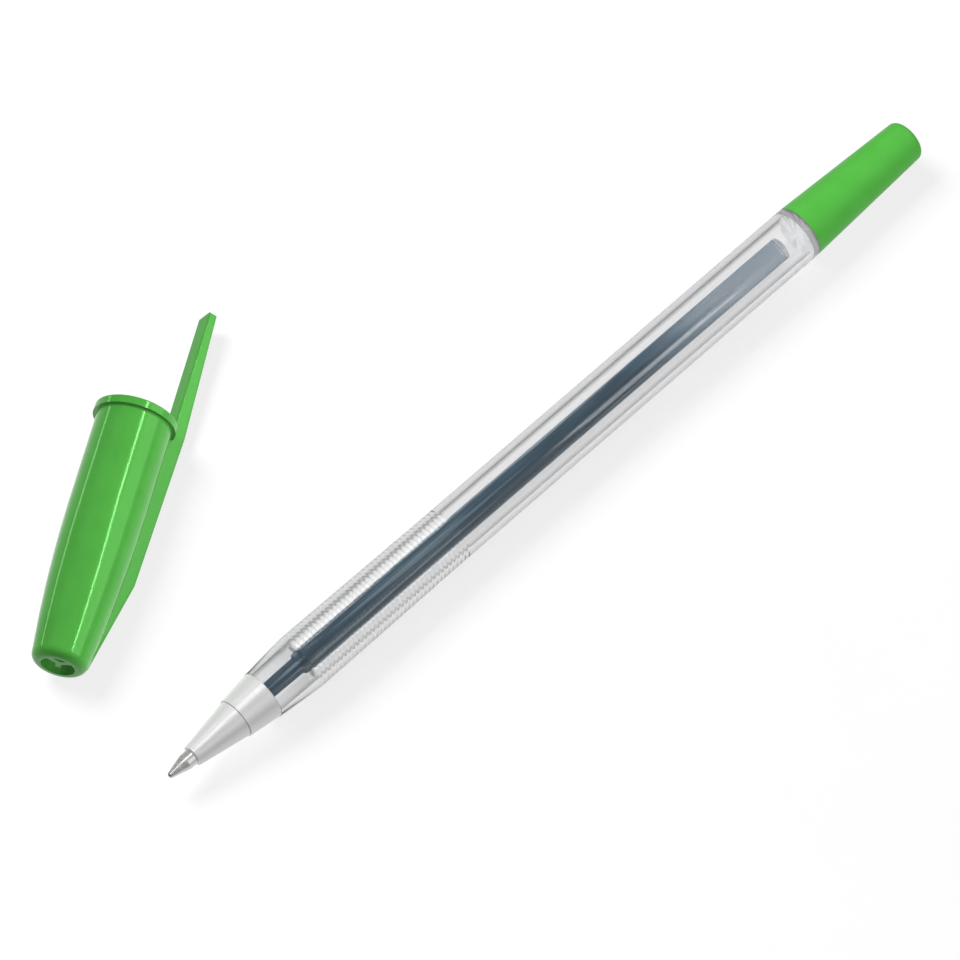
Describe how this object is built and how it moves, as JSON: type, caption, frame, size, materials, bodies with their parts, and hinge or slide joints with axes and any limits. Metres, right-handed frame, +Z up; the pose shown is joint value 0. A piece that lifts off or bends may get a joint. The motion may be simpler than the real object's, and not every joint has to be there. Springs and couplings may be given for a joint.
{
  "type": "stick ballpoint pen",
  "caption": "Stick ballpoint pen with a clear ringed-grip barrel, silver nose, green end plug and a green clip cap lying off beside it.",
  "frame": {"origin": "on the pen's axis, at the middle of the barrel's straight stretch", "axes": "+X along the pen from the writing point to the rear plug, +Z up from the table it lies on"},
  "size_m": [0.1405, 0.0525, 0.0117],
  "materials": {
    "clear_barrel": "clear",
    "clear_holder": "clear",
    "tube": "translucent",
    "ink": "dark slate ink",
    "silver_nose": "satin plated",
    "point_metal": "turned",
    "ball_metal": "polished",
    "green_plug": "satin",
    "green_cap": "gloss"
  },
  "bodies": {
    "barrel": {"barrel": "clear_barrel", "rear_plug": "green_plug"},
    "refill": {"nose_collar": "silver_nose", "nose_cone": "silver_nose", "point_tip": "point_metal", "point_holder": "clear_holder", "ink_tube": "tube", "ink_column": "ink"},
    "ball": {"writing_ball": "ball_metal"},
    "cap": {"cap": "green_cap"}
  },
  "joints": [
    {"name": "refill_pull", "type": "slide", "parent": "barrel", "child": "refill", "axis": [-1, 0, 0], "range_m": [0, 0.099]},
    {"name": "ball_roll", "type": "hinge", "parent": "refill", "child": "ball", "pos_m": [-0.08428, 0, 0], "axis": [0, 1, 0], "continuous": true},
    {"name": "cap_slide", "type": "slide", "parent": "barrel", "child": "cap", "axis": [0.8549, 0.5178, 0.0324], "range_m": [0, 0.036]}
  ]
}
